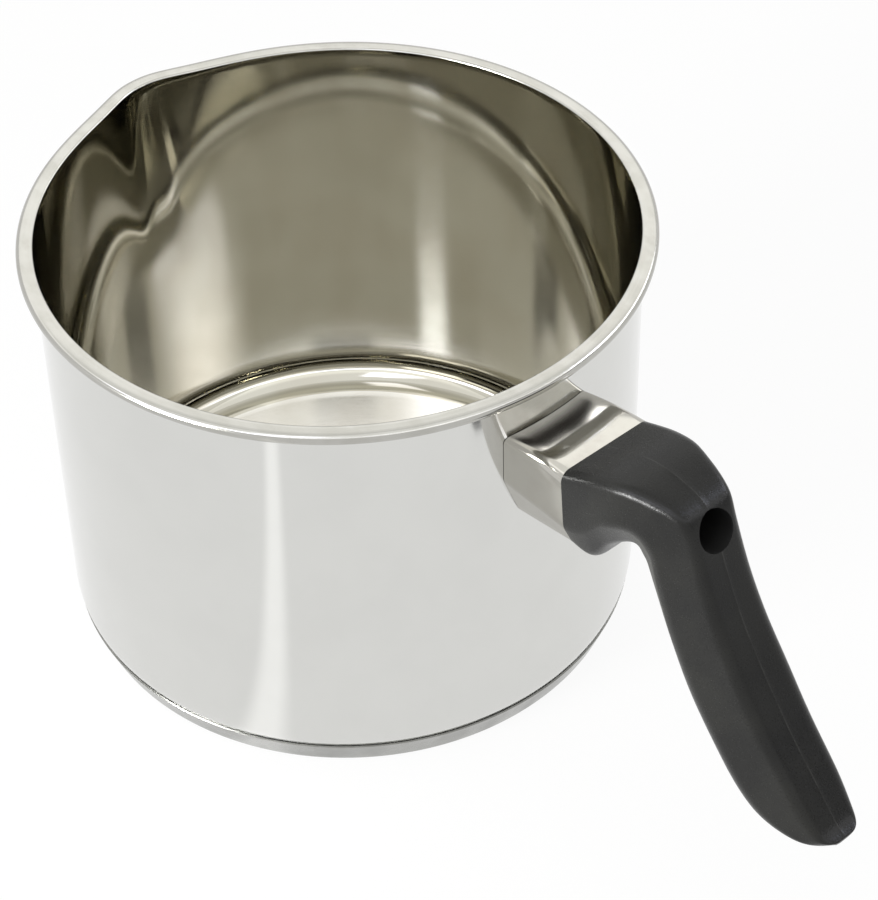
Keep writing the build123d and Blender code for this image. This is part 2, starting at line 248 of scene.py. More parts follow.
def evenNormals(piece, sharpAngle=40):
    work = bmesh.new()
    work.from_mesh(piece.data)
    bmesh.ops.recalc_face_normals(work, faces=work.faces)
    work.to_mesh(piece.data)
    work.free()
    piece.data.shade_smooth()
    piece.data.set_sharp_from_angle(angle=math.radians(sharpAngle))


def arcPoints(centre, radius, start, end, steps):
    turns = [math.radians(start + (end - start) * i / steps) for i in range(steps + 1)]
    return [(centre[0] + radius * math.cos(t), centre[1] + radius * math.sin(t)) for t in turns]


# Points between two ends, without the ends
def runPoints(start, end, steps):
    run = (end[0] - start[0], end[1] - start[1])
    return [(start[0] + run[0] * i / steps, start[1] + run[1] * i / steps) for i in range(1, steps)]


panLow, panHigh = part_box("pan_body")
vessel = {
    "bore": 70.0,
    "sheet": 0.6,
    "height": panHigh.z / mm,
    "floorUnder": panLow.z / mm,
    "floorCorner": 8.0,
    "lipReach": 3.4,
    "lipThickness": 2.6,
    "lipRound": 1.15,
    "lipInnerRound": 0.35,
    "spoutProud": 4.4,
    "spoutDepth": 56.0,
    "spoutSpread": 9.3,  # degrees
    "spoutPower": 2.4,
    "spoutFootPower": 2.0,  # the pouch's edges get crisper towards its foot
    "spoutFadePower": 1.7,
    "spoutFootSpread": 0.55,
    "crowding": 0.75,  # columns gather towards the spout
    "columns": 480,
    "waver": 0.03,  # depth of the slight waves that drawing leaves
    "waverLength": 26.0,
    "waverFade": 12.0,  # the waves die out towards the corner and the lip
    "lipMargin": 3.0,
    "centreRadius": 4.0,  # first ring round the axis
    "cornerSteps": 16,
    "wallSteps": 50,
    "lipSteps": (4, 8),  # inner edge and top, outer edges
}


# Spout's bulge at a turn away from the nose, for a share of the pouch's height
def spoutBulge(size, aside, share, power):
    narrowing = size["spoutFootSpread"] + (1 - size["spoutFootSpread"]) * share
    spread = math.radians(size["spoutSpread"]) * narrowing
    return size["spoutProud"] * share ** size["spoutFadePower"] / (1 + (aside / spread) ** power)


# Section from the floor's centre up the inside, over the lip and down the outside, as (radius, height)
def vesselProfile(size):
    bore, wall = size["bore"], size["bore"] + size["sheet"]
    top, floorTop = size["height"], size["floorUnder"] + size["sheet"]
    cornerZ = size["floorUnder"] + size["floorCorner"]
    lipFoot, lipEdge = top - size["lipThickness"], wall + size["lipReach"]
    lipRound, innerRound, corner = size["lipRound"], size["lipInnerRound"], size["floorCorner"]
    inCorner = corner - size["sheet"]
    fewSteps, manySteps = size["lipSteps"]
    centre, turnSteps, wallSteps = size["centreRadius"], size["cornerSteps"], size["wallSteps"]
    floor = [(r, floorTop) for r in np.linspace(centre, bore - inCorner - 1, turnSteps)]
    inside = arcPoints((bore - inCorner, cornerZ), inCorner, -90, 0, turnSteps)
    inside += runPoints((bore, cornerZ), (bore, top - innerRound), wallSteps)
    lip = arcPoints((bore + innerRound, top - innerRound), innerRound, 180, 90, fewSteps)
    lip += runPoints((bore + innerRound, top), (lipEdge - lipRound, top), fewSteps)
    lip += arcPoints((lipEdge - lipRound, top - lipRound), lipRound, 90, 0, manySteps)
    lip += arcPoints((lipEdge - lipRound, lipFoot + lipRound), lipRound, 0, -90, manySteps)
    lip += [(wall + lipRound, lipFoot), (wall, lipFoot)]
    outside = runPoints((wall, lipFoot), (wall, cornerZ), wallSteps)
    outside += arcPoints((wall - corner, cornerZ), corner, 0, -90, turnSteps)
    under = [(r, size["floorUnder"]) for r in np.linspace(wall - corner - 1, centre, turnSteps // 2)]
    slots = [0] * (len(floor) - 1) + [1] * (len(inside) + 1)
    slots += [2] * (len(lip) - 1) + [3] * (len(outside) + len(under))
    return floor + inside + lip + outside + under, slots


# From 0 to 1 over a length, held at both ends
def ramp(value, length):
    return min(max(value / length, 0.0), 1.0)


def buildVessel(size):
    profile, slots = vesselProfile(size)
    foot = size["height"] - size["spoutDepth"]
    lipFoot = size["height"] - size["lipThickness"]
    cornerZ = size["floorUnder"] + size["floorCorner"]
    rings = []
    for radius, z in profile:
        onLip = z >= lipFoot and radius > size["bore"] + size["sheet"] + size["lipInnerRound"]
        share = 1.0 if onLip else ramp(z - foot, size["spoutDepth"])
        power = size["spoutPower"] + size["spoutFootPower"] * (1 - share)
        fade = ramp(z - cornerZ, size["waverFade"])
        fade *= ramp(size["height"] - size["lipMargin"] - z, size["waverFade"])
        ring = []
        for i in range(size["columns"]):
            turn = 2 * math.pi * i / size["columns"]
            offset = turn - size["crowding"] * math.sin(turn)
            aside = min(offset, 2 * math.pi - offset)
            sideways, along = -math.sin(offset), -math.cos(offset)
            onWall = Vector((along * size["bore"], sideways * size["bore"], z)) / size["waverLength"]
            reach = radius + size["waver"] * fade * noise.noise(onWall)
            if share > 0:
                reach += spoutBulge(size, aside, share, power) * min(radius / size["bore"], 1)
            ring.append((reach * along * mm, reach * sideways * mm, z * mm))
        rings.append(ring)
    piece = buildMesh("vessel", rings, [turnedFloor, innerWall, buffedLip, mirrorWall], slots)
    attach(piece, "root")
    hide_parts("pan_body")


buildVessel(vessel)
print("vessel built")

capsule = {
    "sheet": 0.5, "height": 7.4, "drawIn": 2.8, "bend": 2.2, "jointGap": 0.15, "columns": 256,
    "centreRadius": 4.0, "discRows": 10, "bendSteps": (8, 6), "sideRows": 5,
}


# Steel cup under the pan, its edge standing a hair off the vessel's corner
def buildCapsule(size, pan):
    rise = pan["floorUnder"] + pan["floorCorner"] - size["height"]
    corner, centre = pan["floorCorner"], size["centreRadius"]
    joint = pan["bore"] + pan["sheet"] - corner + math.sqrt(corner ** 2 - rise ** 2)
    topRadius = joint + size["jointGap"] + size["sheet"]
    lean = math.degrees(math.atan2(size["drawIn"], size["height"]))
    low, bend, sheet = topRadius - size["drawIn"], size["bend"], size["sheet"]
    bendX = low - bend * math.tan(math.radians(45 - lean / 2))
    outerSteps, innerSteps = size["bendSteps"]
    outer = [(r, 0.0) for r in np.linspace(centre, bendX - 2, size["discRows"])]
    outer += arcPoints((bendX, bend), bend, -90, -lean, outerSteps)
    outer += runPoints(outer[-1], (topRadius, size["height"]), size["sideRows"])
    outer.append((topRadius, size["height"]))
    inner = [(topRadius - sheet, size["height"])]
    inner += arcPoints((bendX, bend), bend - sheet, -lean, -90, innerSteps)
    inner.append((centre, sheet))
    turns = np.linspace(0, 2 * math.pi, size["columns"], endpoint=False)
    rings = [[(r * math.cos(t) * mm, r * math.sin(t) * mm, z * mm) for t in turns] for r, z in outer + inner]
    piece = buildMesh("capsule", rings, [capsuleSteel], [0] * len(rings))
    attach(piece, "root")
    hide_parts("base_cap")


buildCapsule(capsule, vessel)
print("capsule built")


# Round corner between two straight edges, with a fixed count of points
def roundCorner(before, corner, after, radius, steps):
    u = (before - corner) / np.linalg.norm(before - corner)
    v = (after - corner) / np.linalg.norm(after - corner)
    half = math.acos(max(-1.0, min(1.0, float(u @ v)))) / 2
    first, last = corner + u * radius / math.tan(half), corner + v * radius / math.tan(half)
    centre = corner + (u + v) / np.linalg.norm(u + v) * radius / math.sin(half)
    sweep = math.pi - 2 * half
    a, b = first - centre, last - centre
    return [centre + (math.sin((1 - k) * sweep) * a + math.sin(k * sweep) * b) / math.sin(sweep)
            for k in np.linspace(0, 1, steps)]


outlineSteps = {"corner": 9, "side": 5}


# Closed outline of the guard and the handle, as (sideways, down): flat crown, widest line, drawn-in belly
def mouldedOutline(crown, widest, belly, depth, widestShare, rounds, ridge=(0, 0)):
    corners = [np.array(p, float) for p in
               ((0, 0), (crown / 2, 0), (widest / 2, depth * widestShare), (belly / 2, depth), (0, depth))]
    across, high = ridge
    side = outlineSteps["side"]
    half = [np.array((0, -high)), np.array((across * 0.5, -high * 0.5)), np.array((across, 0.0))]
    for i, radius in enumerate(rounds, 1):
        arc = roundCorner(corners[i - 1], corners[i], corners[i + 1], radius, outlineSteps["corner"])
        start = half[-1]
        half += [start + (arc[0] - start) * k / side for k in range(1, side)] + arc
    half += [half[-1] + (corners[4] - half[-1]) * k / side for k in range(1, side + 1)]
    return np.array(half + [p * (-1, 1) for p in half[-2:0:-1]])


# Pairs are the values at the wall and at the handle
guard = {
    "reach": 17.8, "belowLip": 10.4, "topSlope": 9.5, "lean": 4.2, "sheet": 0.8, "wallGap": 0.1,
    "width": (24.9, 26.6), "depth": (25.2, 23.0), "crownRound": (1.6, 2.6),
    "widestShare": (0.5, 0.65), "bellyShare": (0.62, 0.75),
    "sideRound": 0.24, "bellyRound": 0.2,  # shares of the widest width, the same on the handle
    "crownBulge": 0.6,  # the bent sheet's top rises from the wall, then levels towards the handle
    "bulgeDepth": 8.0,  # how far down the sides the bulge has died out
    "rows": 15,
    "weldDistance": 0.0005,
}
wallRadius = vessel["bore"] + vessel["sheet"]
guardEndX = wallRadius + guard["reach"]
guardEndTop = vessel["height"] - guard["belowLip"]
guardLean = math.radians(guard["lean"])
leanDown = np.array((math.sin(guardLean), 0, -math.cos(guardLean)))


# Guard's width, depth, widest and belly shares and crown rounding, 0 at the wall and 1 at the handle
def guardForm(size, share):
    pairs = [size[key] for key in ("width", "depth", "widestShare", "bellyShare", "crownRound")]
    return [atWall + (atHandle - atWall) * share for atWall, atHandle in pairs]


# Guard's outline, drawn in by an inset
def guardOutline(size, share, inset):
    width, depth, widestShare, bellyShare, crownRound = guardForm(size, share)
    width, depth = width - 2 * inset, depth - 2 * inset
    rounds = (crownRound - inset, width * size["sideRound"], width * size["bellyRound"])
    return mouldedOutline(width, width, width * bellyShare, depth, widestShare, rounds)


def guardPoints(size, share, inset):
    x = wallRadius + size["reach"] * share
    top = np.array((x, 0, guardEndTop - (guardEndX - x) * math.tan(math.radians(size["topSlope"]))))
    outline = guardOutline(size, share, inset)
    return top + leanDown * inset + np.outer(outline[:, 1], leanDown) + np.outer(outline[:, 0], (0, 1, 0))


# How much of the crown's bulge each point of the outline takes
def bulgeWeights(size, inset):
    depth = guardOutline(size, 0.5, inset)[:, 1]
    return np.clip(1 - depth / size["bulgeDepth"], 0, 1) ** 2


# The inner end follows the wall: each line of the guard stops where it meets the wall's cylinder
def guardRing(size, share, inset):
    near, far = guardPoints(size, 0.0, inset), guardPoints(size, 1.0, inset)
    stop = wallRadius + size["wallGap"]
    run = far - near
    a = run[:, 0] ** 2 + run[:, 1] ** 2
    b = near[:, 0] * run[:, 0] + near[:, 1] * run[:, 1]
    c = near[:, 0] ** 2 + near[:, 1] ** 2 - stop ** 2
    meet = (-b + np.sqrt(b * b - a * c)) / a
    place = meet + (1 - meet) * share
    lift = size["crownBulge"] * 4 * share * (1 - share) * bulgeWeights(size, inset)
    return near + run * place[:, None] + np.outer(lift, (0, 0, 1))


def buildGuard(size):
    shares = np.linspace(0, 1, size["rows"])
    rings = [guardRing(size, share, 0) for share in shares]
    rings += [guardRing(size, share, size["sheet"]) for share in shares[::-1]]
    rings.append(rings[0])
    rings = np.array(rings) * mm
    piece = buildMesh("guardSleeve", rings, [guardSteel], [0] * len(rings), False, False)
    work = bmesh.new()
    work.from_mesh(piece.data)
    bmesh.ops.remove_doubles(work, verts=work.verts, dist=size["weldDistance"] * mm)
    work.to_mesh(piece.data)
    work.free()
    evenNormals(piece)
    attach(piece, "root")
    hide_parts("flame_guard")


# Stainless sheet, bright rolled and bent: a mirror with faint lines of the rolling along the guard, which are
# drawn coarser than real ones so that they show
def rolledSteel(name, look):
    material, tree = emptyMaterial(name)
    place = placeInMm(tree)
    lines = stretchedPattern(tree, place, look["lineSizes"], fineNoise)
    smudges = stretchedPattern(tree, place, look["smudgeSizes"], softNoise)
    share = addNode(tree, "MapRange", smooth, [smudges, *smudgeEdges])
    roughness = addNode(tree, "MapRange", {}, [share, 0.0, 1.0, look["roughness"], look["dullRoughness"]])
    finishMetal(tree, look, share, roughness, lines)
    return material


guardSteel = rolledSteel("brightRolledStainless", {
    "color": "#bbb9b2", "dullColor": "#b5b2ab", "roughness": 0.08, "dullRoughness": 0.11,
    "lineSizes": (12.0, 0.4, 0.4), "smudgeSizes": (6.0, 5.0, 5.0), "bump": 0.2, "reliefDepth": 0.004,
})
buildGuard(guard)
print("guard built")

grip = {
    "reach": 76.5, "drop": 67.0, "width": 21.6, "spigotLength": 7.0, "spigotClearance": 0.2,
    "ridgeWidth": 0.16, "ridgeHeight": 0.03,  # flash left by the mould's parting line
    "ridgeStart": 2.3, "ridgeRise": 0.4, "ridgeFall": 0.5,  # counted in the rows below
    "stepsPerRow": 9,
    "sharpAngle": 32,
    # top x and z, bottom x and z, crown width, widest width, its height, belly over widest, crown rounding
    "rows": (
        (0.095, -0.045, 0.085, 0.355, 1.18, 1.22, 0.58, 0.7, 0.1),
        (0.195, -0.08, 0.135, 0.27, 1.08, 1.21, 0.5, 0.66, 0.12),
        (0.295, -0.08, 0.215, 0.2, 0.89, 1.08, 0.52, 0.62, 0.14),
        (0.385, -0.05, 0.24, 0.225, 0.71, 0.99, 0.56, 0.62, 0.14),
        (0.435, 0.03, 0.255, 0.26, 0.63, 0.93, 0.6, 0.62, 0.2),
        (0.49, 0.18, 0.295, 0.345, 0.65, 0.94, 0.66, 0.62, 0.23),
        (0.57, 0.355, 0.365, 0.495, 0.68, 0.98, 0.68, 0.62, 0.23),
        (0.665, 0.515, 0.465, 0.675, 0.71, 1.02, 0.68, 0.62, 0.23),
        (0.765, 0.665, 0.585, 0.845, 0.69, 1.01, 0.68, 0.62, 0.23),
        (0.87, 0.8, 0.705, 0.98, 0.67, 0.94, 0.66, 0.62, 0.22),
        (0.96, 0.915, 0.825, 1.0, 0.54, 0.79, 0.62, 0.62, 0.2),
        (0.995, 0.94, 0.905, 1.0, 0.32, 0.52, 0.58, 0.62, 0.2),
        (0.99, 0.965, 0.975, 0.99, 0.11, 0.15, 0.55, 0.62, 0.2),
    ),
}
screw = {
    "tilt": 12.0, "height": 13.8, "holeRadius": 2.3, "accessRadius": 4.8, "seatDepth": 11.0,
    "cutterEnds": (-14, 60), "cutterSides": 72,
}


# Smooth curve through evenly numbered values, one column each, free at its ends
def throughValues(values, at):
    count = len(values)
    system, right = np.eye(count), np.zeros_like(values)
    for i in range(1, count - 1):
        system[i, i - 1:i + 2] = (1, 4, 1)
        right[i] = 6 * (values[i + 1] - 2 * values[i] + values[i - 1])
    bend = np.linalg.solve(system, right)
    i = min(int(at), count - 2)
    t = at - i
    straight = values[i] * (1 - t) + values[i + 1] * t
    return straight + ((1 - t) ** 3 - (1 - t)) * bend[i] / 6 + (t ** 3 - t) * bend[i + 1] / 6


# The same without overshoot, for widths and roundings
def heldValues(values, at):
    steps = np.diff(values, axis=0)
    slopes = np.zeros_like(values)
    slopes[0], slopes[-1] = steps[0], steps[-1]
    product = steps[:-1] * steps[1:]
    safe = np.where(product > 0, steps[:-1] + steps[1:], 1)
    slopes[1:-1] = np.where(product > 0, 2 * product / safe, 0)
    i = min(int(at), len(values) - 2)
    t = at - i
    return (values[i] * (2 * t ** 3 - 3 * t ** 2 + 1) + slopes[i] * (t ** 3 - 2 * t ** 2 + t)
            + values[i + 1] * (3 * t ** 2 - 2 * t ** 3) + slopes[i + 1] * (t ** 3 - t ** 2))


# Ends of the outline's middle line, and its widths and shares, from the guard's end through every row
def gripRows(size, sleeve):
    width, depth, widestShare, bellyShare, crownRound = guardForm(sleeve, 1)
    shoulderTop = np.array((guardEndX, guardEndTop))
    shoulderFoot = shoulderTop + leanDown[[0, 2]] * depth
    ends = [np.concatenate((shoulderTop, shoulderFoot))]
    forms = [np.array((width, width, widestShare, bellyShare, crownRound))]
    for topX, topZ, footX, footZ, crown, widest, widestShare, bellyShare, roundShare in size["rows"]:
        ends.append(np.array((guardEndX + size["reach"] * topX, guardEndTop - size["drop"] * topZ,
                              guardEndX + size["reach"] * footX, guardEndTop - size["drop"] * footZ)))
        forms.append(np.array((size["width"] * crown, size["width"] * widest, widestShare, bellyShare,
                               size["width"] * crown * roundShare)))
    return np.array(ends), np.array(forms)


def gripRing(ends, form, sleeve, ridge):
    top, foot = np.array((ends[0], 0, ends[1])), np.array((ends[2], 0, ends[3]))
    depth = np.linalg.norm(foot - top)
    down = (foot - top) / depth
    crown, widest, widestShare, bellyShare, crownRound = form
    rounds = (crownRound, widest * sleeve["sideRound"], widest * sleeve["bellyRound"])
    outline = mouldedOutline(crown, widest, widest * bellyShare, depth, widestShare, rounds, ridge)
    return top + np.outer(outline[:, 1], down) + np.outer(outline[:, 0], (0, 1, 0))


# Where the screw's line meets the guard's end, and its direction
def screwFrame(size):
    tilt = math.radians(size["tilt"])
    direction = Vector((math.cos(tilt), 0, math.sin(tilt)))
    footZ = guardEndTop - guard["depth"][1] * math.cos(guardLean)
    return Vector((guardEndX, 0, footZ + size["height"])), direction


# Stepped cutter along the screw: narrow to the seat, then wide out through the head
def buildCutter(size):
    start, direction = screwFrame(size)
    aside = Vector((0, 1, 0))
    above = direction.cross(aside)
    (first, last), narrow, wide = size["cutterEnds"], size["holeRadius"], size["accessRadius"]
    steps = ((first, narrow), (size["seatDepth"], narrow), (size["seatDepth"], wide), (last, wide))
    turns = np.linspace(0, 2 * math.pi, size["cutterSides"], endpoint=False)
    rings = [[tuple((start + direction * far + (aside * math.cos(t) + above * math.sin(t)) * radius) * mm)
              for t in turns] for far, radius in steps]
    return buildMesh("screwCutter", rings, [phenolic, phenolicBore], [1] * len(steps))


def cutHole(piece, cutter):
    cut = piece.modifiers.new("screwHole", "BOOLEAN")
    cut.operation, cut.object, cut.solver = "DIFFERENCE", cutter, "EXACT"
    evaluated = piece.evaluated_get(bpy.context.evaluated_depsgraph_get())
    whole = bpy.data.meshes.new_from_object(evaluated)
    piece.modifiers.clear()
    piece.data = whole
    bpy.data.objects.remove(cutter)


def buildGrip(size):
    ends, forms = gripRows(size, guard)
    last = len(ends) - 1
    count = last * size["stepsPerRow"]
    inset = guard["sheet"] + size["spigotClearance"]
    spigotShare = 1 - size["spigotLength"] / guard["reach"]
    rings = [guardPoints(guard, spigotShare, inset), guardPoints(guard, 1.0, inset)]
    for i in range(count + 1):
        at = last * i / count
        rise = ramp(at - size["ridgeStart"], size["ridgeRise"]) * ramp(last - 1 - at, size["ridgeFall"])
        ridge = (size["ridgeWidth"], size["ridgeHeight"] * rise)
        rings.append(gripRing(throughValues(ends, at), heldValues(forms, at), guard, ridge))
    rings = np.array(rings) * mm
    piece = buildMesh("grip", rings, [phenolic, phenolicBore], [0] * len(rings))
    cutHole(piece, buildCutter(screw))
    evenNormals(piece, size["sharpAngle"])
    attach(piece, "root")
    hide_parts("handle")


# Pale line along the mould's joint, broken here and there: partly the flash's own paler colour, partly a
# painted highlight, as it shows on the handle's upward faces only
def partingLine(tree, place, look):
    aside = addNode(tree, "SeparateXYZ", {}, [place]).outputs[1]
    apart = addNode(tree, "Math", {"operation": "ABSOLUTE"}, [aside])
    normal = addNode(tree, "NewGeometry").outputs["Normal"]
    facing = addNode(tree, "SeparateXYZ", {}, [normal]).outputs[2]
    width = look["partingWidth"]
    near = addNode(tree, "MapRange", smooth, [apart, width * 0.5, width, 1.0, 0.0])
    # Painted highlight: the line shows only where the surface faces up
    upper = addNode(tree, "MapRange", smooth, [facing, *look["partingFacing"]])
    gaps = stretchedPattern(tree, place, look["partingGaps"], fineNoise)
    broken = addNode(tree, "MapRange", smooth, [gaps, *look["partingEdges"], look["partingFaint"], 1.0])
    line = addNode(tree, "Math", {"operation": "MULTIPLY"}, [near, upper])
    return addNode(tree, "Math", {"operation": "MULTIPLY"}, [line, broken])


# Phenolic resin, compression moulded: near black and satin. The mould's fine grain is drawn coarser, to show
def mouldedPhenolic(name, look):
    material, tree = emptyMaterial(name)
    place = placeInMm(tree)
    grain = stretchedPattern(tree, place, (look["grain"],) * 3, fineNoise)
    cloud = stretchedPattern(tree, place, (look["cloud"],) * 3, cloudNoise)
    share = addNode(tree, "MapRange", smooth, [cloud, *patchEdges])
    colors = {0: share, 6: hexColor(look["color"]), 7: hexColor(look["paleColor"])}
    color = addNode(tree, "Mix", {"data_type": "RGBA"}, colors).outputs[2]
    if "partingFlashAndSheenColor" in look:
        colors = {0: partingLine(tree, place, look), 6: color, 7: hexColor(look["partingFlashAndSheenColor"])}
        color = addNode(tree, "Mix", {"data_type": "RGBA"}, colors).outputs[2]
    low, high = look["roughness"] - look["roughnessSpread"], look["roughness"] + look["roughnessSpread"]
    roughness = addNode(tree, "MapRange", {}, [grain, *lineEdges, low, high])
    depth = look["grainDepth"] * mm
    bump = addNode(tree, "Bump", {}, {"Height": grain, "Strength": look["bump"], "Distance": depth})
    surface = {"Base Color": color, "Roughness": roughness, "Normal": bump}
    surface["Specular IOR Level"] = look["shine"]
    addNode(tree, "OutputMaterial", {}, [addNode(tree, "BsdfPrincipled", {}, surface)])
    return material


# Outer skin: fine grain breaks the highlights along the edges
phenolic = mouldedPhenolic("mouldedPhenolic", {
    "color": "#141413", "paleColor": "#1a1a18", "roughness": 0.3, "roughnessSpread": 0.05, "shine": 0.25,
    "grain": 0.5, "cloud": 14.0, "bump": 0.9, "grainDepth": 0.045,
    "partingFlashAndSheenColor": "#30302e", "partingWidth": 0.2, "partingGaps": (5.0, 5.0, 5.0),
    "partingFacing": (0.05, 0.2), "partingEdges": (0.4, 0.6), "partingFaint": 0.25,
})
# Inside of the hole: duller, as the core pin leaves it
phenolicBore = mouldedPhenolic("mouldedPhenolicBore", {
    "color": "#121211", "paleColor": "#171716", "roughness": 0.55, "roughnessSpread": 0.05, "shine": 0.35,
    "grain": 0.45, "cloud": 9.0, "bump": 0.35, "grainDepth": 0.02,
})
buildGrip(grip)
print("grip built")


# Small steel and aluminium pieces that keep their own solids
def platedMetal(name, look):
    material, tree = emptyMaterial(name)
    spangle = stretchedPattern(tree, placeInMm(tree), look["patchSizes"], spangleNoise)
    share = addNode(tree, "MapRange", smooth, [spangle, *patchEdges])
    roughness = addNode(tree, "MapRange", {}, [share, 0.0, 1.0, look["roughness"], look["dullRoughness"]])
    finishMetal(tree, look, share, roughness, spangle)
    return material


# Zinc plating: cool grey with soft patches where the bath left it dull
zincPlate = platedMetal("zincPlatedSteel", {
    "color": "#b9bcbf", "dullColor": "#a2a5a6", "roughness": 0.3, "dullRoughness": 0.45,
    "patchSizes": (1.2, 1.2, 1.2), "bump": 0.3, "reliefDepth": 0.02,
})
# Stamped steel: rolling lines, drawn coarser so that they show, and a dull blank
stampedSteel = platedMetal("stampedStainless", {
    "color": "#b4b3b0", "dullColor": "#a09f9b", "roughness": 0.34, "dullRoughness": 0.46,
    "patchSizes": (0.6, 4.0, 0.6), "bump": 0.3, "reliefDepth": 0.02,
})
# Rolled aluminium: pale, soft, with long rolling lines, drawn coarser so that they show
rolledAluminium = platedMetal("rolledAluminium", {
    "color": "#d6d8da", "dullColor": "#c3c5c7", "roughness": 0.4, "dullRoughness": 0.5,
    "patchSizes": (14.0, 0.8, 0.8), "bump": 0.3, "reliefDepth": 0.02,
})
carried = {
    "handle_screw": zincPlate, "flat_washer": zincPlate, "spring_washer": zincPlate, "weld_nut": zincPlate,
    "handle_bracket": stampedSteel, "base_core": rolledAluminium,
}
for nodeName, material in carried.items():
    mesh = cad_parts[nodeName].data
    mesh.materials.clear()
    mesh.materials.append(material)
print("small pieces finished")

studio = {
    "floorSize": 6.0,  # metres
    "floorDrop": 0.02,  # mm under the pan, so that the two faces don't share a plane
    "floorColor": "#f6f6f5",
    "toothColor": "#f0f0ee",
    "toothSize": 1 / 1.2,  # mm, the paper's fibres, drawn coarser than real ones so that they show
    "toothDetail": 2.0,
    "glow": 0.92,  # share of the floor's white that no shadow takes away
    "paintedStreakBearing": 297.2,  # painted light: a strip of the floor that glows brighter, seen only in the wall
    "paintedStreakPasses": (44.0, -79.0),  # mm, a point that the strip runs through
    "paintedStreakHalf": (2.0, 10.0),
    "paintedStreakGain": 0.3,
    "backHeading": 139.0,  # degrees, straight away from the photographer
    "fill": 0.62,
}

# Room by height in degrees: white card low down, a bright wall, a paler ceiling
roomBands = (
    {"from": 30.0, "to": 33.2, "light": (1.75, 1.74, 1.7)},
    {"from": 40.8, "to": 43.5, "light": (1.25, 1.25, 1.22)},
    {"from": 54.0, "to": 66.0, "light": (0.85, 0.85, 0.84)},
)

# Cards and boxes round the set: degrees from straight back, half width, height from and to, their soft edges
studioPatches = {
    "darkGap": {
        "turn": -105, "half": 18, "turnSoft": 9, "low": 18.5, "high": 28.0, "lowSoft": 6.0, "highSoft": 2.0,
        "light": (0.04, 0.036, 0.032),
    },
    "sideCard": {
        "turn": -78, "half": 30, "turnSoft": 9, "low": 29.2, "high": 32.8, "lowSoft": 1.6, "highSoft": 1.4,
        "light": (5.4, 5.4, 5.6),
    },
    "faceCard": {
        "turn": -62, "half": 18, "turnSoft": 8, "low": 25.2, "high": 29.6, "lowSoft": 1.4, "highSoft": 1.6,
        "light": (6.6, 6.6, 6.9),
    },
    "highBox": {
        "turn": 154, "half": 10, "turnSoft": 8, "low": 58.0, "high": 76, "lowSoft": 4.0, "highSoft": 6.0,
        "light": (3.6, 3.65, 4.2),
    },
    "frontBox": {
        "turn": 180, "half": 62, "turnSoft": 12, "low": 41.25, "high": 47, "lowSoft": 0.5, "highSoft": 2.0,
        "light": (2.9, 2.95, 3.2),
    },
    "rightBox": {
        "turn": -72, "half": 5, "turnSoft": 11, "low": 39.5, "high": 46, "lowSoft": 2.2, "highSoft": 3.0,
        "light": (9.6, 10.1, 12.2),
    },
    "leftBox": {
        "turn": 120, "half": 4, "turnSoft": 44, "low": 38.9, "high": 45, "lowSoft": 1.0, "highSoft": 2.0,
        "light": (6.4, 6.5, 7.4),
    },
    "leftGlow": {
        "turn": 128, "half": 28, "turnSoft": 12, "low": 34.0, "high": 38.9, "lowSoft": 1.2, "highSoft": 1.0,
        "light": (3.6, 3.65, 4.2),
    },
    "darkCard": {
        "turn": -177, "half": 9, "turnSoft": 8, "low": 38.4, "high": 41.0, "lowSoft": 0.8, "highSoft": 0.4,
        "light": (0.3, 0.29, 0.25),
    },
}


# Pale paper: matte, and mostly white by itself to the camera and to mirrors, so that only shadows show
def addFloor(size):
    half = size["floorSize"] / 2
    mesh = bpy.data.meshes.new("paperFloor")
    corners = [(-half, -half, 0), (half, -half, 0), (half, half, 0), (-half, half, 0)]
    mesh.from_pydata(corners, [], [(0, 1, 2, 3)])
    floor = bpy.data.objects.new("paperFloor", mesh)
    bpy.context.scene.collection.objects.link(floor)
    floor.location.z = -size["floorDrop"] * mm
    material, tree = emptyMaterial("matWhitePaper")
    place = addNode(tree, "NewGeometry").outputs
    toothScale = 1 / (size["toothSize"] * mm)
    toothInputs = {"Vector": place["Position"], "Scale": toothScale, "Detail": size["toothDetail"]}
    tooth = addNode(tree, "TexNoise", {}, toothInputs)
    colors = {0: tooth, 6: hexColor(size["floorColor"]), 7: hexColor(size["toothColor"])}
    color = addNode(tree, "Mix", {"data_type": "RGBA"}, colors).outputs[2]
    matte = addNode(tree, "BsdfDiffuse", {}, {"Color": color})
    # Painted light: a strip of the floor glows brighter, to mirrors only
    turn = math.radians(size["paintedStreakBearing"] + 90)
    across = Vector((math.cos(turn), math.sin(turn), 0))
    passes = Vector((*size["paintedStreakPasses"], 0)) * mm
    away = addNode(tree, "VectorMath", {"operation": "SUBTRACT"}, [place["Position"], passes])
    apart = addNode(tree, "VectorMath", {"operation": "DOT_PRODUCT"}, [away, across]).outputs["Value"]
    near = addNode(tree, "Math", {"operation": "ABSOLUTE"}, [apart])
    narrow, wide = (reach * mm for reach in size["paintedStreakHalf"])
    paintedStreak = addNode(tree, "MapRange", smooth, [near, narrow, wide, 1.0 + size["paintedStreakGain"], 1.0])
    path = addNode(tree, "LightPath").outputs
    camera, glossy = path["Is Camera Ray"], path["Is Glossy Ray"]
    mirrored = addNode(tree, "Math", {"operation": "MULTIPLY_ADD"}, [glossy, paintedStreak, camera])
    white = addNode(tree, "Emission", {}, {"Color": hexColor("#ffffff"), "Strength": mirrored})
    seen = addNode(tree, "Math", {"operation": "MAXIMUM"}, [camera, glossy])
    shown = addNode(tree, "Math", {"operation": "MAXIMUM"}, [seen, path["Is Transmission Ray"]])
    share = addNode(tree, "Math", {"operation": "MULTIPLY"}, [shown, size["glow"]])
    lit = addNode(tree, "MixShader", {}, [share, matte, white])
    clear = addNode(tree, "BsdfTransparent")
    addNode(tree, "OutputMaterial", {}, [addNode(tree, "MixShader", {}, [place["Backfacing"], lit, clear])])
    mesh.materials.append(material)


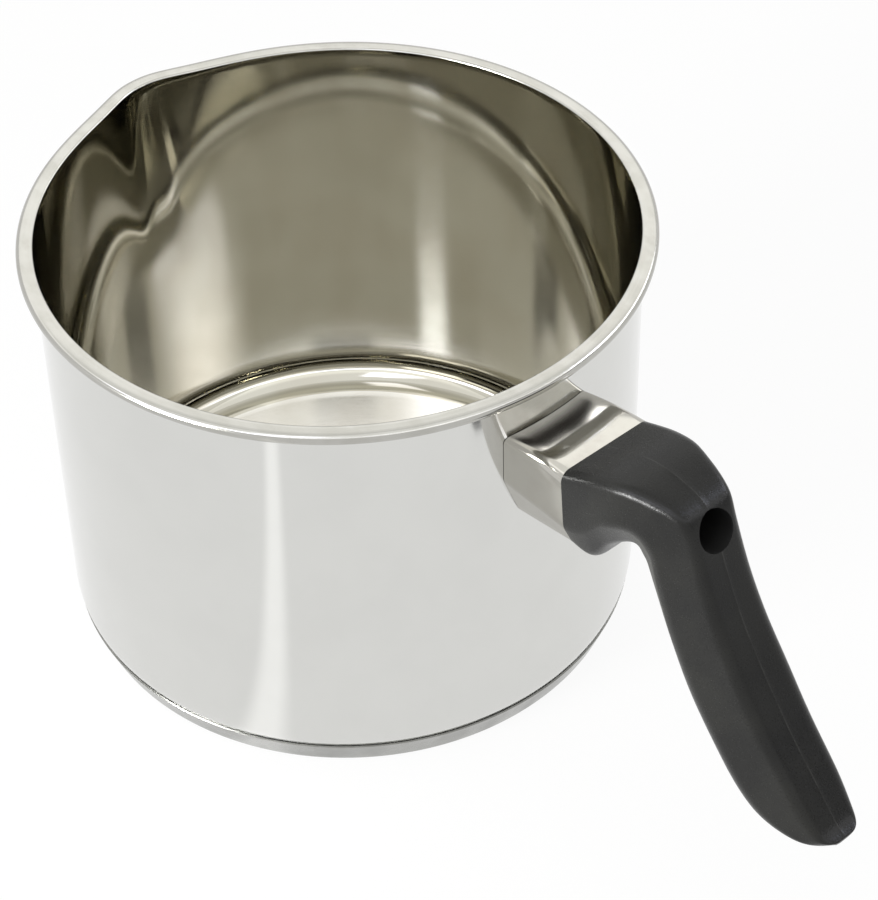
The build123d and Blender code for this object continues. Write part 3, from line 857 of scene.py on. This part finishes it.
# One card or box laid over the room's colour, with soft edges
def paintPatch(tree, color, level, elevation, patch, backHeading):
    bearing = math.radians(backHeading + patch["turn"])
    middle = (math.cos(bearing), math.sin(bearing), 0)
    near = addNode(tree, "VectorMath", {"operation": "DOT_PRODUCT"}, [level, middle]).outputs["Value"]
    angle = addNode(tree, "Math", {"operation": "ARCCOSINE"}, [near])
    away = addNode(tree, "Math", {"operation": "DEGREES"}, [angle])
    low, high, lowBlur, highBlur = patch["low"], patch["high"], patch["lowSoft"] / 2, patch["highSoft"] / 2
    rising = addNode(tree, "MapRange", smooth, [elevation, low - lowBlur, low + lowBlur])
    falling = addNode(tree, "MapRange", smooth, [elevation, high - highBlur, high + highBlur, 1.0, 0.0])
    far = patch["half"] + patch["turnSoft"]
    sideways = addNode(tree, "MapRange", smooth, [away, patch["half"], far, 1.0, 0.0])
    tall = addNode(tree, "Math", {"operation": "MULTIPLY"}, [rising, falling])
    share = addNode(tree, "Math", {"operation": "MULTIPLY"}, [tall, sideways])
    colors = {0: share, 6: color, 7: (*patch["light"], 1)}
    return addNode(tree, "Mix", {"data_type": "RGBA"}, colors).outputs[2]


# Studio: the room's bands and cards for mirrors, an even fill for the rest, white to the camera
def addWorld(size, bands, patches):
    world = bpy.data.worlds.new("studio")
    bpy.context.scene.world = world
    world.use_nodes = True
    tree = world.node_tree
    tree.nodes.clear()
    direction = addNode(tree, "TexCoord").outputs["Generated"]
    height = addNode(tree, "SeparateXYZ", {}, [direction]).outputs[2]
    rise = addNode(tree, "Math", {"operation": "ARCSINE"}, [height])
    elevation = addNode(tree, "Math", {"operation": "DEGREES"}, [rise])
    flat = addNode(tree, "VectorMath", {"operation": "MULTIPLY"}, [direction, (1, 1, 0)])
    level = addNode(tree, "VectorMath", {"operation": "NORMALIZE"}, [flat])
    white = hexColor("#ffffff")
    color = white
    for look in bands:
        above = addNode(tree, "MapRange", smooth, [elevation, look["from"], look["to"]])
        colors = {0: above, 6: color, 7: (*look["light"], 1)}
        color = addNode(tree, "Mix", {"data_type": "RGBA"}, colors).outputs[2]
    for patch in patches.values():
        color = paintPatch(tree, color, level, elevation, patch, size["backHeading"])
    room = addNode(tree, "Background", {}, {"Color": color, "Strength": 1.0})
    fill = addNode(tree, "Background", {}, {"Color": white, "Strength": size["fill"]})
    seen = addNode(tree, "Background", {}, {"Color": white, "Strength": 1.0})
    path = addNode(tree, "LightPath").outputs
    rays = [path["Is Glossy Ray"], path["Is Transmission Ray"]]
    mirrored = addNode(tree, "Math", {"operation": "MAXIMUM"}, rays)
    first = addNode(tree, "MixShader", {}, [mirrored, fill, room])
    final = addNode(tree, "MixShader", {}, [path["Is Camera Ray"], first, seen])
    addNode(tree, "OutputWorld", {}, [final])


# Soft lamps: bearing and elevation in degrees, distance, width and height in metres, power in watts
lamps = {
    "topBox": {"bearing": 319, "elevation": 80, "distance": 1.8, "width": 2.0, "height": 2.0, "power": 7},
    "edgeStrip": {"bearing": 265, "elevation": 10, "distance": 1.6, "width": 0.6, "height": 0.4, "power": 44},
}


def addLamp(name, look):
    bearing, elevation = math.radians(look["bearing"]), math.radians(look["elevation"])
    flat = math.cos(elevation)
    out = Vector((math.cos(bearing) * flat, math.sin(bearing) * flat, math.sin(elevation)))
    data = bpy.data.lights.new(name, "AREA")
    data.shape = "RECTANGLE"
    data.size, data.size_y, data.energy = look["width"], look["height"], look["power"]
    lamp = bpy.data.objects.new(name, data)
    lamp.location = out * look["distance"]
    lamp.rotation_mode = "QUATERNION"
    lamp.rotation_quaternion = (-out).to_track_quat("-Z", "Y")
    bpy.context.scene.collection.objects.link(lamp)


addFloor(studio)
addWorld(studio, roomBands, studioPatches)
for lampName, lampLook in lamps.items():
    addLamp(lampName, lampLook)
bpy.context.scene.view_settings.view_transform = "Standard"
bpy.context.scene.cycles.glossy_bounces = 12  # the inside mirrors itself many times over
print("studio lit")
